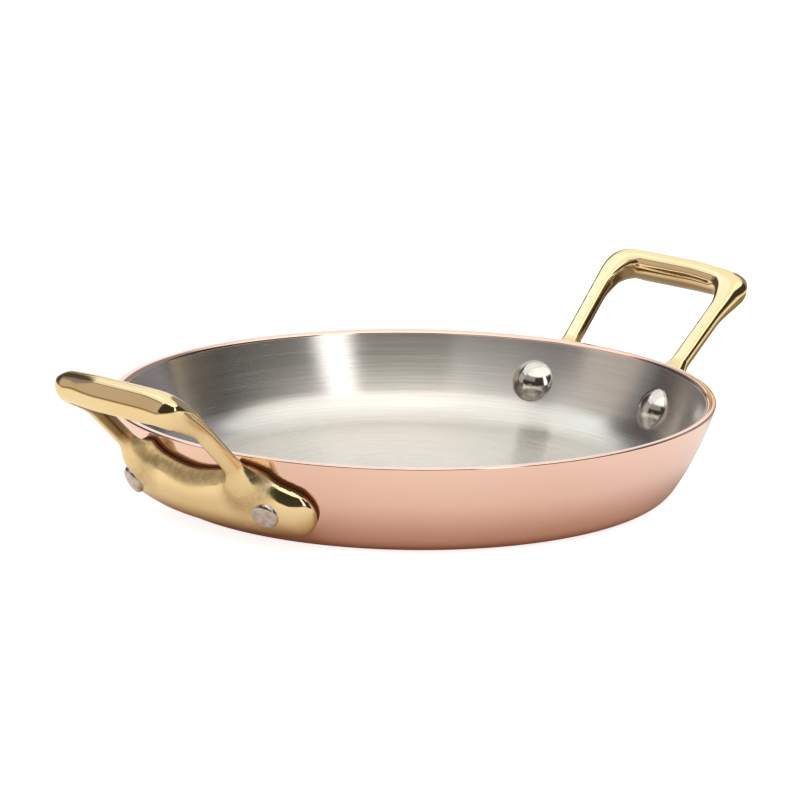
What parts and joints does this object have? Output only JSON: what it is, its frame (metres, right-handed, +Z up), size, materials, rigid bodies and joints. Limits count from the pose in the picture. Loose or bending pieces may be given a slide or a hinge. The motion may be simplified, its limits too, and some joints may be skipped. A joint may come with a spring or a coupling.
{
  "type": "round baking dish",
  "caption": "Shallow round copper baking dish with a steel-lined inside, flared wall, flat base and opposite cast brass loop handles riveted to the wall.",
  "frame": {"origin": "centre of the base, on the surface the dish stands on", "axes": "+X through the middle of the right handle, +Y to the back, +Z up"},
  "size_m": [0.2232, 0.1596, 0.0468],
  "materials": {
    "copper": null,
    "lining_steel": "stainless steel, brushed round the axis",
    "handle_brass": "cast brass, polished, rougher on the ledges between the legs",
    "rivet_steel": "stainless steel, polished heads and matt hammered tails"
  },
  "bodies": {
    "root": {"copper_body": "copper", "steel_lining": "lining_steel", "handle_left": "handle_brass", "handle_right": "handle_brass", "rivet_left_front": "rivet_steel", "rivet_left_back": "rivet_steel", "rivet_right_front": "rivet_steel", "rivet_right_back": "rivet_steel"}
  },
  "joints": []
}
